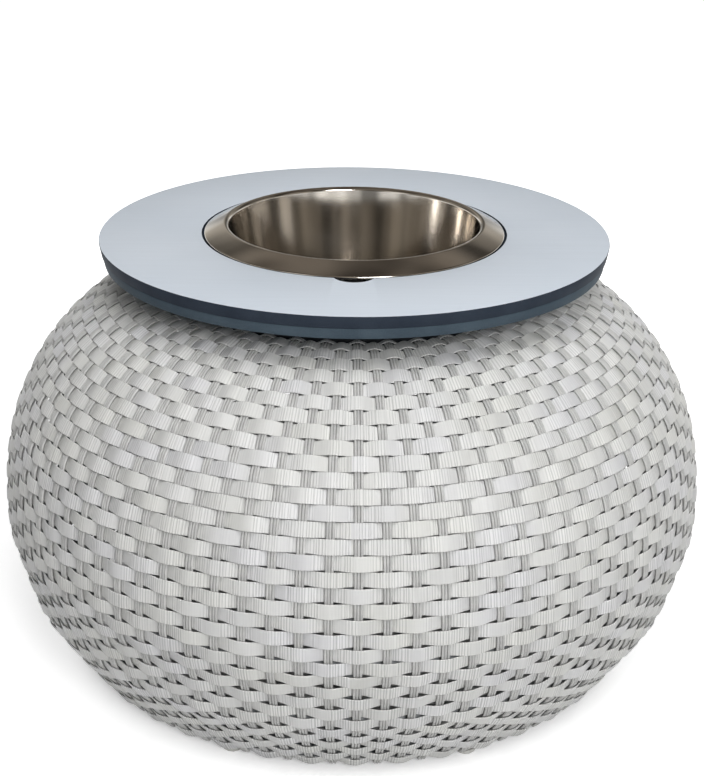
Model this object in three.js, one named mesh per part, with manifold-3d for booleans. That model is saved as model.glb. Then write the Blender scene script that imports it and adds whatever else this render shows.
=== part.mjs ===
// Ice bucket coffee table: a squat woven globe on a welded tube frame, a round
// two-layer top with a dark edge, and a steel bowl that lifts out of its middle.
// Millimetres, +Z up, origin on the floor under the globe's axis, front at -Y.

import * as THREE from 'three';
import { mergeVertices } from 'three/addons/utils/BufferGeometryUtils.js';
import Module from 'manifold-3d';

// Seats and cuts
const SEAT_GAP = 0.3;
const CUT_OVERRUN = 3;

// Woven globe, outer surface. Angles are those of the outward direction above level.
const WEAVE_THICKNESS = 5;
const WIDEST_RADIUS = 357.4;
const WIDEST_HEIGHT = 144;
const LOWER_CREASE_INSET = 17.4;
const LOWER_CREASE_HEIGHT = 75;
const EDGE_INSET = 43.5;
const EDGE_HEIGHT = 5;
const DOME_START_ANGLE = -1.8;
const SIDE_ARC_RADIUS = 336;
const SIDE_ARC_END_ANGLE = 12;
const SHOULDER_ARC_RADIUS = 215;
const SHOULDER_ARC_END_ANGLE = 64;
const CROWN_ARC_RADIUS = 82.5;
const CROWN_ARC_END_ANGLE = 90;
const CROWN_FLAT_WIDTH = 8;

// Strips run round the globe and pass over every other upright stake, so the stakes are even in number
const STAKE_COUNT = 90;
const FIRST_STAKE_ANGLE = 1.05;
const STRIP_WIDTH = 13.8;
const WEAVE_RELIEF = 2.4;

// Tube frame
const RING_TUBE_RADIUS = 8;
const RIB_TUBE_RADIUS = 6;
const BASE_RING_HEIGHT = 17;
const RIB_COUNT = 8;

// Collar, brackets and screws under the top
const COLLAR_THICKNESS = 4;
const SHADOW_GAP_HEIGHT = 22;
const BRACKET_COUNT = 4;
const BRACKET_WIDTH = 24;
const BRACKET_LEG = 20;
const BRACKET_DROP = 18;
const BRACKET_SHEET = 3;
const SCREW_SHANK_RADIUS = 2.3;
const SCREW_HEAD_RADIUS = 4.6;
const SCREW_HEAD_HEIGHT = 3;
const SCREW_SOCKET_RADIUS = 1.5;
const SCREW_SOCKET_DEPTH = 1.6;
const SCREW_BITE = 6.5;
const SCREW_HOLE_CLEARANCE = 0.5;

// Top
const TOP_OVERHANG = 60;
const PANEL_THICKNESS = 11.2;
const PANEL_EDGE_UNDERCUT = 2;
const PANEL_EDGE_CHAMFER = 0.8;
const BACKING_THICKNESS = 10;
const BACKING_SETBACK = 0.6;
const BACKING_EDGE_UNDERCUT = 2;
const BACKING_INNER_MARGIN = 2;
const BACKING_EDGE_CHAMFER = 0.8;

// Bowl, measured on the middle of its sheet
const BOWL_SHEET = 1.2;
const BOWL_BRIM_INSET = 13.8;
const BOWL_BRIM_WIDTH = 23.5;
const BOWL_LIP_RISE = 13.5;
const BOWL_LIP_BEND = 3.5;
const BOWL_DEPTH = 135;
const BOWL_WALL_TAPER = 19.8;
const BOWL_FLOOR_BEND = 45;
const BOWL_CURL_RADIUS = 1.3;
const BOWL_CURL_SWEEP_ANGLE = 215;
const CUTOUT_CLEARANCE = 2.5;
const REBATE_DEPTH = 3;
const REBATE_CLEARANCE = 2;
const FINGER_NOTCH_RADIUS = 19;
const FINGER_NOTCH_REACH = 13.5;

// Glides
const GLIDE_COUNT = 8;
const GLIDE_FOOT_RADIUS = 10;
const GLIDE_FOOT_HEIGHT = 4.5;
const GLIDE_NECK_RADIUS = 7.5;
const GLIDE_NECK_TOP = 14;
const GLIDE_FOOT_CHAMFER = 1;
const GLIDE_SHELL_CLEARANCE = 0.6;

// Facets
const TOP_SEGMENTS = 64;
const RING_SEGMENTS = 32;
const BOWL_SEGMENTS = 48;
const SMALL_SEGMENTS = 12;
const NOTCH_SEGMENTS = 32;
const TUBE_SIDES = 8;
const RIB_STEPS = 8;
const SIDE_ARC_STEPS = 2;
const SHOULDER_ARC_STEPS = 4;
const CROWN_ARC_STEPS = 1;
const FACE_ARC_REFINEMENT = 4;
const BEND_STEP_ANGLE = 22.5;

const DEGREE = Math.PI / 180;

// Finishes
const laminate = new THREE.MeshStandardMaterial({ color: 0xc5ccd5, roughness: 0.45, metalness: 0 });
const darkLayer = new THREE.MeshStandardMaterial({ color: 0x2b323b, roughness: 0.4, metalness: 0 });
const steel = new THREE.MeshStandardMaterial({ color: 0xb9b7b2, roughness: 0.12, metalness: 1 });
const rattan = new THREE.MeshStandardMaterial({ color: 0xd6d5d0, roughness: 0.6, metalness: 0 });
const paintedTube = new THREE.MeshStandardMaterial({ color: 0x8f9294, roughness: 0.5, metalness: 0.2 });
const paintedCollar = new THREE.MeshStandardMaterial({ color: 0x22262b, roughness: 0.55, metalness: 0.2 });
const screwSteel = new THREE.MeshStandardMaterial({ color: 0xa8a8a6, roughness: 0.35, metalness: 1 });
const glidePlastic = new THREE.MeshStandardMaterial({ color: 0xc9c9c5, roughness: 0.6, metalness: 0 });

const wasm = await Module();
wasm.setup();

// Outlines are lists of { r, z }: distance from the axis and height.

function arcPoints(centre, radius, fromAngle, toAngle, steps) {
  const points = [];
  for (let i = 1; i <= steps; i += 1) {
    const angle = (fromAngle + ((toAngle - fromAngle) * i) / steps) * DEGREE;
    points.push({ r: centre.r + radius * Math.cos(angle), z: centre.z + radius * Math.sin(angle) });
  }
  return points;
}

// Outer outline of the weave from its lower edge up to the crown's inner edge.
// Two straight flanks meet at a crease, then three arcs follow one another smoothly.
function weaveOutline(refinement) {
  const creaseRadius = WIDEST_RADIUS - LOWER_CREASE_INSET;
  const outline = [
    { r: creaseRadius - EDGE_INSET, z: EDGE_HEIGHT },
    { r: creaseRadius, z: LOWER_CREASE_HEIGHT },
    { r: WIDEST_RADIUS, z: WIDEST_HEIGHT },
  ];
  const arcs = [
    { radius: SIDE_ARC_RADIUS, end: SIDE_ARC_END_ANGLE, steps: SIDE_ARC_STEPS },
    { radius: SHOULDER_ARC_RADIUS, end: SHOULDER_ARC_END_ANGLE, steps: SHOULDER_ARC_STEPS },
    { radius: CROWN_ARC_RADIUS, end: CROWN_ARC_END_ANGLE, steps: CROWN_ARC_STEPS },
  ];
  let angle = DOME_START_ANGLE;
  for (const arc of arcs) {
    const last = outline[outline.length - 1];
    const centre = {
      r: last.r - arc.radius * Math.cos(angle * DEGREE),
      z: last.z - arc.radius * Math.sin(angle * DEGREE),
    };
    outline.push(...arcPoints(centre, arc.radius, angle, arc.end, arc.steps * refinement));
    angle = arc.end;
  }
  const crown = outline[outline.length - 1];
  outline.push({ r: crown.r - CROWN_FLAT_WIDTH, z: crown.z });
  return outline;
}

// The same outline moved to its left-hand side by a distance, with mitred corners.
function offsetPath(path, distance) {
  const normals = [];
  for (let i = 0; i + 1 < path.length; i += 1) {
    const dr = path[i + 1].r - path[i].r;
    const dz = path[i + 1].z - path[i].z;
    const length = Math.hypot(dr, dz);
    normals.push({ r: -dz / length, z: dr / length });
  }
  return path.map((point, i) => {
    const before = normals[Math.max(i - 1, 0)];
    const after = normals[Math.min(i, normals.length - 1)];
    const scale = distance / (1 + before.r * after.r + before.z * after.z);
    return { r: point.r + (before.r + after.r) * scale, z: point.z + (before.z + after.z) * scale };
  });
}

// Corners { r, z, bend } joined by straight lines. A corner with a bend radius is rounded.
function roundedPath(corners) {
  const points = [];
  corners.forEach((corner, i) => {
    if (!corner.bend) {
      points.push({ r: corner.r, z: corner.z });
      return;
    }
    const previous = corners[i - 1];
    const next = corners[i + 1];
    const inward = Math.atan2(corner.z - previous.z, corner.r - previous.r);
    const outward = Math.atan2(next.z - corner.z, next.r - corner.r);
    const turn = Math.atan2(Math.sin(outward - inward), Math.cos(outward - inward));
    const side = Math.sign(turn);
    const cutBack = corner.bend * Math.tan(Math.abs(turn) / 2);
    const start = { r: corner.r - cutBack * Math.cos(inward), z: corner.z - cutBack * Math.sin(inward) };
    const centre = {
      r: start.r - side * corner.bend * Math.sin(inward),
      z: start.z + side * corner.bend * Math.cos(inward),
    };
    const fromAngle = (inward - (side * Math.PI) / 2) / DEGREE;
    const steps = Math.round(Math.abs(turn) / DEGREE / BEND_STEP_ANGLE);
    points.push(start, ...arcPoints(centre, corner.bend, fromAngle, fromAngle + turn / DEGREE, steps));
  });
  return points;
}

// Closed section of a sheet that follows a path, half its thickness on each side.
function sheetSection(path, thickness) {
  return [...offsetPath(path, -thickness / 2), ...offsetPath(path, thickness / 2).reverse()];
}

function revolve(section, segments, closed) {
  const loop = closed ? [...section, section[0]] : section;
  const geometry = new THREE.LatheGeometry(loop.map((p) => new THREE.Vector2(p.r, p.z)), segments);
  return geometry.rotateX(Math.PI / 2);
}

function rectangleSection(innerRadius, outerRadius, bottom, top) {
  return [
    { r: innerRadius, z: bottom },
    { r: outerRadius, z: bottom },
    { r: outerRadius, z: top },
    { r: innerRadius, z: top },
  ];
}

function solidCylinder(radius, bottom, top, segments, x, y) {
  const geometry = new THREE.CylinderGeometry(radius, radius, top - bottom, segments);
  return geometry.rotateX(Math.PI / 2).translate(x, y, (bottom + top) / 2);
}

function circleShape(radius, sides) {
  const shape = new THREE.Shape();
  for (let i = 0; i < sides; i += 1) {
    const angle = (2 * Math.PI * i) / sides;
    const x = radius * Math.cos(angle);
    const y = radius * Math.sin(angle);
    if (i === 0) shape.moveTo(x, y);
    else shape.lineTo(x, y);
  }
  shape.closePath();
  return shape;
}

// Point at a given run along a path, measured from its start.
function pointAlong(path, run) {
  let left = run;
  for (let i = 0; i + 1 < path.length; i += 1) {
    const length = Math.hypot(path[i + 1].r - path[i].r, path[i + 1].z - path[i].z);
    if (left <= length || i + 2 === path.length) {
      const share = left / length;
      return {
        r: path[i].r + (path[i + 1].r - path[i].r) * share,
        z: path[i].z + (path[i + 1].z - path[i].z) * share,
      };
    }
    left -= length;
  }
  return path[path.length - 1];
}

function pathLength(path) {
  let total = 0;
  for (let i = 0; i + 1 < path.length; i += 1) {
    total += Math.hypot(path[i + 1].r - path[i].r, path[i + 1].z - path[i].z);
  }
  return total;
}

// Round tube along a path that lies in the plane of the axis, cut short at both ends.
function frameTube(path, endCut, steps) {
  const total = pathLength(path);
  const points = [];
  for (let i = 0; i <= steps; i += 1) {
    const run = endCut + ((total - 2 * endCut) * i) / steps;
    const point = pointAlong(path, run);
    points.push(new THREE.Vector3(point.r, 0, point.z));
  }
  const curve = steps > 1 ? new THREE.CatmullRomCurve3(points) : new THREE.LineCurve3(...points);
  const section = circleShape(RIB_TUBE_RADIUS, TUBE_SIDES);
  return new THREE.ExtrudeGeometry(section, { steps, bevelEnabled: false, extrudePath: curve });
}

function toManifold(geometry) {
  const bare = geometry.clone();
  bare.deleteAttribute('normal');
  bare.deleteAttribute('uv');
  const merged = mergeVertices(bare);
  return new wasm.Manifold(new wasm.Mesh({
    numProp: 3,
    vertProperties: new Float32Array(merged.attributes.position.array),
    triVerts: new Uint32Array(merged.index.array),
  }));
}

function cutAway(geometry, tools) {
  let solid = toManifold(geometry);
  for (const tool of tools) {
    solid = solid.subtract(toManifold(tool));
  }
  const mesh = solid.getMesh();
  const result = new THREE.BufferGeometry();
  result.setAttribute('position', new THREE.BufferAttribute(new Float32Array(mesh.vertProperties), 3));
  result.setIndex(new THREE.BufferAttribute(new Uint32Array(mesh.triVerts), 1));
  return result;
}

const table = new THREE.Group();

function addPiece(name, geometry, material, turn = 0) {
  geometry.computeVertexNormals();
  const mesh = new THREE.Mesh(geometry, material);
  mesh.name = name;
  mesh.rotation.z = turn;
  table.add(mesh);
}

function addAround(name, count, geometry, material, startTurn) {
  for (let i = 0; i < count; i += 1) {
    addPiece(`${name}_${i + 1}`, geometry.clone(), material, startTurn + (2 * Math.PI * i) / count);
  }
}

// Lines that the pieces share
const outline = weaveOutline(1);
const crownEdge = outline[outline.length - 1];
const frameDepth = WEAVE_THICKNESS + SEAT_GAP + RING_TUBE_RADIUS;
const frameLine = offsetPath(outline, frameDepth);
const tubeEndCut = RING_TUBE_RADIUS + SEAT_GAP;

const baseShare = (BASE_RING_HEIGHT - frameLine[0].z) / (frameLine[1].z - frameLine[0].z);
const baseRing = {
  r: frameLine[0].r + (frameLine[1].r - frameLine[0].r) * baseShare,
  z: BASE_RING_HEIGHT,
};
const lowerRing = frameLine[1];
const widestRing = frameLine[2];

const collarOuterRadius = crownEdge.r - SEAT_GAP;
const collarInnerRadius = collarOuterRadius - COLLAR_THICKNESS;
const topRing = { r: (collarOuterRadius + collarInnerRadius) / 2, z: crownEdge.z - frameDepth };
const collarBottom = topRing.z + RING_TUBE_RADIUS + SEAT_GAP;

const backingBottom = crownEdge.z + SHADOW_GAP_HEIGHT;
const backingTop = backingBottom + BACKING_THICKNESS;
const panelBottom = backingTop + SEAT_GAP;
const panelTop = panelBottom + PANEL_THICKNESS;
const rebateFloor = panelTop - REBATE_DEPTH;

const topRadius = crownEdge.r + TOP_OVERHANG;

// Flat bracket leg against the inside of the round collar
const collarInnerFlat = collarInnerRadius * Math.cos(Math.PI / RING_SEGMENTS);
const bracketFace = Math.sqrt(collarInnerFlat ** 2 - (BRACKET_WIDTH / 2) ** 2) - SEAT_GAP;
const bracketTop = backingBottom - SEAT_GAP;
const screwCircleRadius = bracketFace - (BRACKET_LEG + BRACKET_SHEET) / 2;
const backingInnerRadius = bracketFace - BRACKET_LEG - BACKING_INNER_MARGIN;
const bracketTurn = Math.PI / BRACKET_COUNT;

// The bowl hangs inside the backing ring
const brimRadius = backingInnerRadius - BOWL_BRIM_INSET;
const lipRadius = brimRadius - BOWL_BRIM_WIDTH;

function addFrame() {
  const rings = { top: topRing, widest: widestRing, lower: lowerRing, base: baseRing };
  for (const [name, ring] of Object.entries(rings)) {
    const torus = new THREE.TorusGeometry(ring.r, RING_TUBE_RADIUS, TUBE_SIDES, RING_SEGMENTS);
    addPiece(`frame_${name}_ring`, torus.translate(0, 0, ring.z), paintedTube);
  }
  const upperPath = [...frameLine.slice(2, -1), topRing];
  addAround('frame_upper_rib', RIB_COUNT, frameTube(upperPath, tubeEndCut, RIB_STEPS), paintedTube, 0);
  const midTube = frameTube([lowerRing, widestRing], tubeEndCut, 1);
  addAround('frame_mid_strut', RIB_COUNT, midTube, paintedTube, 0);
  const lowerTube = frameTube([baseRing, lowerRing], tubeEndCut, 1);
  addAround('frame_lower_strut', RIB_COUNT, lowerTube, paintedTube, 0);
}

// Rings of the woven face, one through the middle of each strip, with a point for every stake.
// A strip stands out where it passes over a stake and dips where it passes behind one.
function wovenFaceRings() {
  const face = weaveOutline(FACE_ARC_REFINEMENT);
  const stripCount = Math.floor(pathLength(face) / STRIP_WIDTH);
  const crests = [face[0]];
  for (let strip = 0; strip < stripCount; strip += 1) {
    crests.push(pointAlong(face, (strip + 0.5) * STRIP_WIDTH));
  }
  crests.push(face[face.length - 1]);
  const dips = offsetPath(crests, WEAVE_RELIEF);
  return crests.map((crest, i) => {
    const plain = i === 0 || i === crests.length - 1;
    const ring = [];
    for (let stake = 0; stake < STAKE_COUNT; stake += 1) {
      ring.push(plain || (stake + i) % 2 === 1 ? crest : dips[i]);
    }
    return ring;
  });
}

// Closed surface through rings of { r, z } points, with its creases running from dip to dip
function surfaceThroughRings(rings) {
  const positions = [];
  const index = [];
  rings.forEach((ring, i) => {
    const ringStart = i * STAKE_COUNT;
    const nextStart = ((i + 1) % rings.length) * STAKE_COUNT;
    ring.forEach((point, stake) => {
      const angle = (2 * Math.PI * stake) / STAKE_COUNT;
      positions.push(point.r * Math.sin(angle), -point.r * Math.cos(angle), point.z);
      const nextStake = (stake + 1) % STAKE_COUNT;
      const here = ringStart + stake;
      const beside = ringStart + nextStake;
      const above = nextStart + stake;
      const across = nextStart + nextStake;
      if ((stake + i) % 2 === 0) index.push(here, beside, across, here, across, above);
      else index.push(here, beside, above, beside, across, above);
    });
  });
  const surface = new THREE.BufferGeometry();
  surface.setAttribute('position', new THREE.Float32BufferAttribute(positions, 3));
  surface.setIndex(index);
  return surface;
}

function addShell() {
  const inside = offsetPath(outline, WEAVE_THICKNESS).reverse();
  const insideRings = inside.map((point) => new Array(STAKE_COUNT).fill(point));
  const shell = surfaceThroughRings([...wovenFaceRings(), ...insideRings]);
  addPiece('woven_shell', shell, rattan, FIRST_STAKE_ANGLE * DEGREE);
}

function addCollar() {
  const section = rectangleSection(collarInnerRadius, collarOuterRadius, collarBottom, bracketTop);
  addPiece('top_collar', revolve(section, RING_SEGMENTS, true), paintedCollar);
}

// Where the screws pass, one vertical tool for each
function screwTools(radius, bottom, top) {
  const tools = [];
  for (let i = 0; i < BRACKET_COUNT; i += 1) {
    const angle = bracketTurn + (2 * Math.PI * i) / BRACKET_COUNT;
    const x = screwCircleRadius * Math.cos(angle);
    const y = screwCircleRadius * Math.sin(angle);
    tools.push(solidCylinder(radius, bottom, top, SMALL_SEGMENTS, x, y));
  }
  return tools;
}

// Angle brackets with a rounded bend: one leg down the collar, one under the backing ring
function addBrackets() {
  const outerBend = 2 * BRACKET_SHEET;
  const legPath = roundedPath([
    { r: bracketFace - BRACKET_SHEET / 2, z: bracketTop - BRACKET_DROP },
    { r: bracketFace - BRACKET_SHEET / 2, z: bracketTop - BRACKET_SHEET / 2, bend: outerBend },
    { r: bracketFace - BRACKET_LEG, z: bracketTop - BRACKET_SHEET / 2 },
  ]);
  const section = sheetSection(legPath, BRACKET_SHEET);
  const shape = new THREE.Shape(section.map((p) => new THREE.Vector2(p.r, p.z)));
  const blank = new THREE.ExtrudeGeometry(shape, { depth: BRACKET_WIDTH, bevelEnabled: false });
  blank.translate(0, 0, -BRACKET_WIDTH / 2).rotateX(Math.PI / 2);
  const holeRadius = SCREW_SHANK_RADIUS + SCREW_HOLE_CLEARANCE;
  const holeBottom = bracketTop - BRACKET_SHEET - CUT_OVERRUN;
  const holeTop = bracketTop + CUT_OVERRUN;
  const hole = solidCylinder(holeRadius, holeBottom, holeTop, SMALL_SEGMENTS, screwCircleRadius, 0);
  addAround('top_bracket', BRACKET_COUNT, cutAway(blank, [hole]), paintedCollar, bracketTurn);
}

function addScrews() {
  const seat = bracketTop - BRACKET_SHEET - SEAT_GAP;
  const tip = panelBottom + SCREW_BITE;
  const bottom = seat - SCREW_HEAD_HEIGHT;
  const section = [
    { r: 0, z: bottom + SCREW_SOCKET_DEPTH },
    { r: SCREW_SOCKET_RADIUS, z: bottom + SCREW_SOCKET_DEPTH },
    { r: SCREW_SOCKET_RADIUS, z: bottom },
    { r: (SCREW_SOCKET_RADIUS + SCREW_HEAD_RADIUS) / 2, z: bottom },
    { r: SCREW_HEAD_RADIUS, z: bottom + SCREW_HEAD_HEIGHT / 2 },
    { r: SCREW_HEAD_RADIUS, z: seat },
    { r: SCREW_SHANK_RADIUS, z: seat },
    { r: SCREW_SHANK_RADIUS, z: tip - SCREW_SHANK_RADIUS / 2 },
    { r: SCREW_SHANK_RADIUS / 2, z: tip },
    { r: 0, z: tip },
  ];
  const screw = revolve(section, SMALL_SEGMENTS, false).translate(screwCircleRadius, 0, 0);
  addAround('top_screw', BRACKET_COUNT, screw, screwSteel, bracketTurn);
}

function addBacking() {
  const outerTop = topRadius - PANEL_EDGE_UNDERCUT - BACKING_SETBACK;
  const outerBottom = outerTop - BACKING_EDGE_UNDERCUT;
  const section = [
    { r: backingInnerRadius, z: backingBottom },
    { r: outerBottom - BACKING_EDGE_CHAMFER, z: backingBottom },
    { r: outerBottom, z: backingBottom + BACKING_EDGE_CHAMFER },
    { r: outerTop, z: backingTop },
    { r: backingInnerRadius, z: backingTop },
  ];
  const holeRadius = SCREW_SHANK_RADIUS + SCREW_HOLE_CLEARANCE;
  const holes = screwTools(holeRadius, backingBottom - CUT_OVERRUN, backingTop + CUT_OVERRUN);
  addPiece('backing_ring', cutAway(revolve(section, TOP_SEGMENTS, true), holes), darkLayer);
}

// The panel has a rebate around its cut-out, in which the bowl's brim sits
function addPanel() {
  const cutoutRadius = lipRadius + BOWL_SHEET / 2 + CUTOUT_CLEARANCE;
  const rebateRadius = brimRadius + REBATE_CLEARANCE;
  const section = [
    { r: cutoutRadius, z: panelBottom },
    { r: topRadius - PANEL_EDGE_UNDERCUT, z: panelBottom },
    { r: topRadius, z: panelTop - PANEL_EDGE_CHAMFER },
    { r: topRadius - PANEL_EDGE_CHAMFER, z: panelTop },
    { r: rebateRadius, z: panelTop },
    { r: rebateRadius, z: rebateFloor },
    { r: cutoutRadius, z: rebateFloor },
  ];
  const notchCentre = -(brimRadius + FINGER_NOTCH_REACH - FINGER_NOTCH_RADIUS);
  const notchBottom = panelBottom - CUT_OVERRUN;
  const notchTop = panelTop + CUT_OVERRUN;
  const notch = solidCylinder(FINGER_NOTCH_RADIUS, notchBottom, notchTop, NOTCH_SEGMENTS, 0, notchCentre);
  const holeTop = panelBottom + SCREW_BITE + SEAT_GAP;
  const holes = screwTools(SCREW_SHANK_RADIUS + SEAT_GAP, panelBottom - CUT_OVERRUN, holeTop);
  addPiece('tabletop_panel', cutAway(revolve(section, TOP_SEGMENTS, true), [notch, ...holes]), laminate);
}

// Middle of the bowl's sheet: floor, wall, lip, sloping brim and the curled edge
function bowlPath() {
  const lip = { r: lipRadius, z: rebateFloor + BOWL_LIP_RISE, bend: BOWL_LIP_BEND };
  const floor = lip.z - BOWL_DEPTH;
  const curlOuter = BOWL_CURL_RADIUS + BOWL_SHEET / 2;
  const curl = { r: brimRadius - curlOuter, z: rebateFloor + SEAT_GAP + curlOuter };
  const reach = Math.hypot(curl.r - lip.r, curl.z - lip.z);
  const heading = Math.atan2(curl.z - lip.z, curl.r - lip.r) + Math.asin(BOWL_CURL_RADIUS / reach);
  const run = Math.sqrt(reach ** 2 - BOWL_CURL_RADIUS ** 2);
  const curlStart = { r: lip.r + run * Math.cos(heading), z: lip.z + run * Math.sin(heading) };
  const path = roundedPath([
    { r: 0, z: floor },
    { r: lipRadius - BOWL_WALL_TAPER, z: floor, bend: BOWL_FLOOR_BEND },
    lip,
    curlStart,
  ]);
  const startAngle = heading / DEGREE + 90;
  const endAngle = startAngle - BOWL_CURL_SWEEP_ANGLE;
  const steps = Math.round(BOWL_CURL_SWEEP_ANGLE / (2 * BEND_STEP_ANGLE));
  path.push(...arcPoints(curl, BOWL_CURL_RADIUS, startAngle, endAngle, steps));
  return path;
}

function addBowl() {
  addPiece('ice_bowl', revolve(sheetSection(bowlPath(), BOWL_SHEET), BOWL_SEGMENTS, false), steel);
}

// Glides with a round foot and a neck that is saddled to the base ring
function addGlides() {
  const weaveInner = offsetPath(outline, WEAVE_THICKNESS);
  const centreRadius = weaveInner[0].r - GLIDE_SHELL_CLEARANCE - GLIDE_NECK_RADIUS;
  const section = [
    { r: 0, z: 0 },
    { r: GLIDE_FOOT_RADIUS - GLIDE_FOOT_CHAMFER, z: 0 },
    { r: GLIDE_FOOT_RADIUS, z: GLIDE_FOOT_CHAMFER },
    { r: GLIDE_FOOT_RADIUS, z: GLIDE_FOOT_HEIGHT },
    { r: GLIDE_NECK_RADIUS, z: GLIDE_FOOT_HEIGHT },
    { r: GLIDE_NECK_RADIUS, z: GLIDE_NECK_TOP },
    { r: 0, z: GLIDE_NECK_TOP },
  ];
  const blank = revolve(section, SMALL_SEGMENTS, false).translate(centreRadius, 0, 0);
  const saddleRadius = RING_TUBE_RADIUS + SEAT_GAP;
  const saddle = new THREE.TorusGeometry(baseRing.r, saddleRadius, TUBE_SIDES, RING_SEGMENTS);
  const turn = Math.PI / GLIDE_COUNT;
  const glide = cutAway(blank, [saddle.rotateZ(-turn).translate(0, 0, baseRing.z)]);
  addAround('glide', GLIDE_COUNT, glide, glidePlastic, turn);
}

addFrame();
addShell();
addCollar();
addBrackets();
addScrews();
addBacking();
addPanel();
addBowl();
addGlides();

export default table;
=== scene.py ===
"""Looks of the ice bucket coffee table: woven globe, two-layer top, spun steel bowl and tube frame.

The object's lengths are in millimetres and scaled to metres as each mesh is made. Those of the
camera, the floor, the lamps and the bumps are in metres. Angles round the axis are measured from
the front (-Y) towards the right (+X).
"""

import math

import bpy
import numpy as np
from mathutils import Matrix, Vector


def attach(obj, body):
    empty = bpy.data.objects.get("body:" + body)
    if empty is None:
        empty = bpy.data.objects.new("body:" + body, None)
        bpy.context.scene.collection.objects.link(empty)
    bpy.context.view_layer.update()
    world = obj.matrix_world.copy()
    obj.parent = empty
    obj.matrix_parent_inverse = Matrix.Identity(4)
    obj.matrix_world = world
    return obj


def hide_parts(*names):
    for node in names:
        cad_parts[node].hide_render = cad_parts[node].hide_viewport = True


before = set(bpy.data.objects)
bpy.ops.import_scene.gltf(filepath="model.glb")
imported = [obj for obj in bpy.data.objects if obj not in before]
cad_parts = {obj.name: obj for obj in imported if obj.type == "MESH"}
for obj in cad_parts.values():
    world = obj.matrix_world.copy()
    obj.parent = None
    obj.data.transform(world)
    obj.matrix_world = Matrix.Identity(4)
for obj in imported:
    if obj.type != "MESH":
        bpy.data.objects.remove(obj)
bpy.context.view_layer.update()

MM = 0.001
TABLE = "table"
BOWL = "bowl"
rng = np.random.default_rng(17)

# Seats
SEAT_GAP = 0.3

# Outer outline of the weave. Its angles are those of the outward direction above level, in degrees,
# and each arc of the dome has a radius and an end angle. The softening counts steps of the outline.
WEAVE_THICKNESS = 5.0
WIDEST_RADIUS = 357.4
WIDEST_HEIGHT = 144.0
LOWER_CREASE_INSET = 17.4
LOWER_CREASE_HEIGHT = 75.0
EDGE_INSET = 43.5
EDGE_HEIGHT = 5.0
DOME_START_ANGLE = -1.8
DOME_ARCS = ((336.0, 12.0), (215.0, 64.0), (82.5, 90.0))
CROWN_FLAT_WIDTH = 8.0
OUTLINE_STEP = 0.5
CREASE_SOFTENING = 8

# Rows and stakes, with the first stake's angle in radians
STAKES = 90
STAKE_TURN = 2 * math.pi / STAKES
FIRST_STAKE = 0.0184
ROWS = 34
PITCH = 13.8
MIDDLE_DEPTH = 2.6
CROWN_ROW_MARGIN = 0.3

# Strips. The pairs are for the crown and for the foot. Tilt is a slope, and spread and pinch are shares.
BAND_HALF_WIDTH = (6.84, 6.62)
BAND_PINCH = (0.0, 0.17)
BAND_HALF_THICKNESS = 0.58
BAND_BEVEL = 0.42
BAND_WAVE = 2.25
BAND_WAVE_SPREAD = 0.045
BAND_TILT = 0.012
BAND_SHIFT = 0.05
BAND_CUP = 0.16
BAND_STEPS = 720
WANDER_WAVES = (2, 3, 5, 8, 13)
WANDER_PHASE = 6.28

# Strands, three side by side in each stake
STRAND_RADIUS = 1.3
STRAND_SPACING = 2.52
STRAND_WANDER = 0.06
STRAND_SINK = 0.12
STRAND_WAVE = 0.7
STRAND_SIDES = 6
STRAND_STEP = 4.6
STAKE_FOOT_MARGIN = 1.5
STAKE_CROWN_MARGIN = 0.5
FOLD_RADIUS = 2.1
FOLD_SWEEP = 170.0
FOLD_STEPS = 6

# Tone numbers of the stakes start here, clear of those of the rows
FIRST_STAKE_TONE = 50

# Frame and collar. The drawn ring tubes stay a little inside the faceted ones.
RING_TUBE_RADIUS = 8.0
RING_TUBE_SLACK = 0.2
RIB_TUBE_RADIUS = 6.0
BASE_RING_HEIGHT = 17.0
RIBS = 8
RIB_STEP = 8.0
RIB_CROWN_MARGIN = 20.0
COLLAR_THICKNESS = 4.0
COLLAR_EDGE = 0.6
SHADOW_GAP_HEIGHT = 22.0

# Top
TOP_OVERHANG = 60.0
EDGE_UNDERCUT = 2.0
PANEL_THICKNESS = 11.2
PANEL_EDGE = 0.7
PANEL_CUT_EDGE = 0.4
PANEL_INNER_EDGE = 0.3
FACE_DEPTH = 0.12
BACKING_THICKNESS = 10.0
BACKING_SETBACK = 0.6
BACKING_LOWER_EDGE = 0.8
BACKING_UPPER_EDGE = 0.4
BACKING_INNER_EDGE = 0.3
BACKING_REACH = 23.6
REBATE_DEPTH = 3.0
REBATE_CLEARANCE = 2.0
CUTOUT_CLEARANCE = 2.5
NOTCH_RADIUS = 19.0
NOTCH_REACH = 13.5
NOTCH_OVERRUN = 5.0

# Bowl, measured on the middle of its sheet
SHEET = 1.2
BRIM_INSET = 13.8
BRIM_WIDTH = 23.5
LIP_RISE = 13.5
LIP_BEND = 3.5
BOWL_DEPTH = 135.0
WALL_TAPER = 19.8
FLOOR_BEND = 45.0
FLOOR_DISC_RADIUS = 2.0
CURL_RADIUS = 1.3
CURL_SWEEP = 215.0
CURL_STEPS = 14

# Facets of round forms
TOP_SEGMENTS = 256
BOWL_SEGMENTS = 192
NOTCH_SEGMENTS = 96
RING_SEGMENTS = 128
TUBE_SIDES = 16
EDGE_STEPS = 3
BEND_STEP_ANGLE = 4.0
FEWEST_BEND_STEPS = 4

# Bends sharper than these angles stay sharp edges, in degrees
BAND_CREASE = 32.0
STRAND_CREASE = 62.0
TOP_CREASE = 25.0
BOWL_CREASE = 50.0
TUBE_CREASE = 40.0
COLLAR_CREASE = 30.0

# Ribs pressed in the strips: their spacing along a strip, and how far it wanders, in radians
RIB_PITCH = 2.45
RIB_WOBBLE = 7.0

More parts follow.
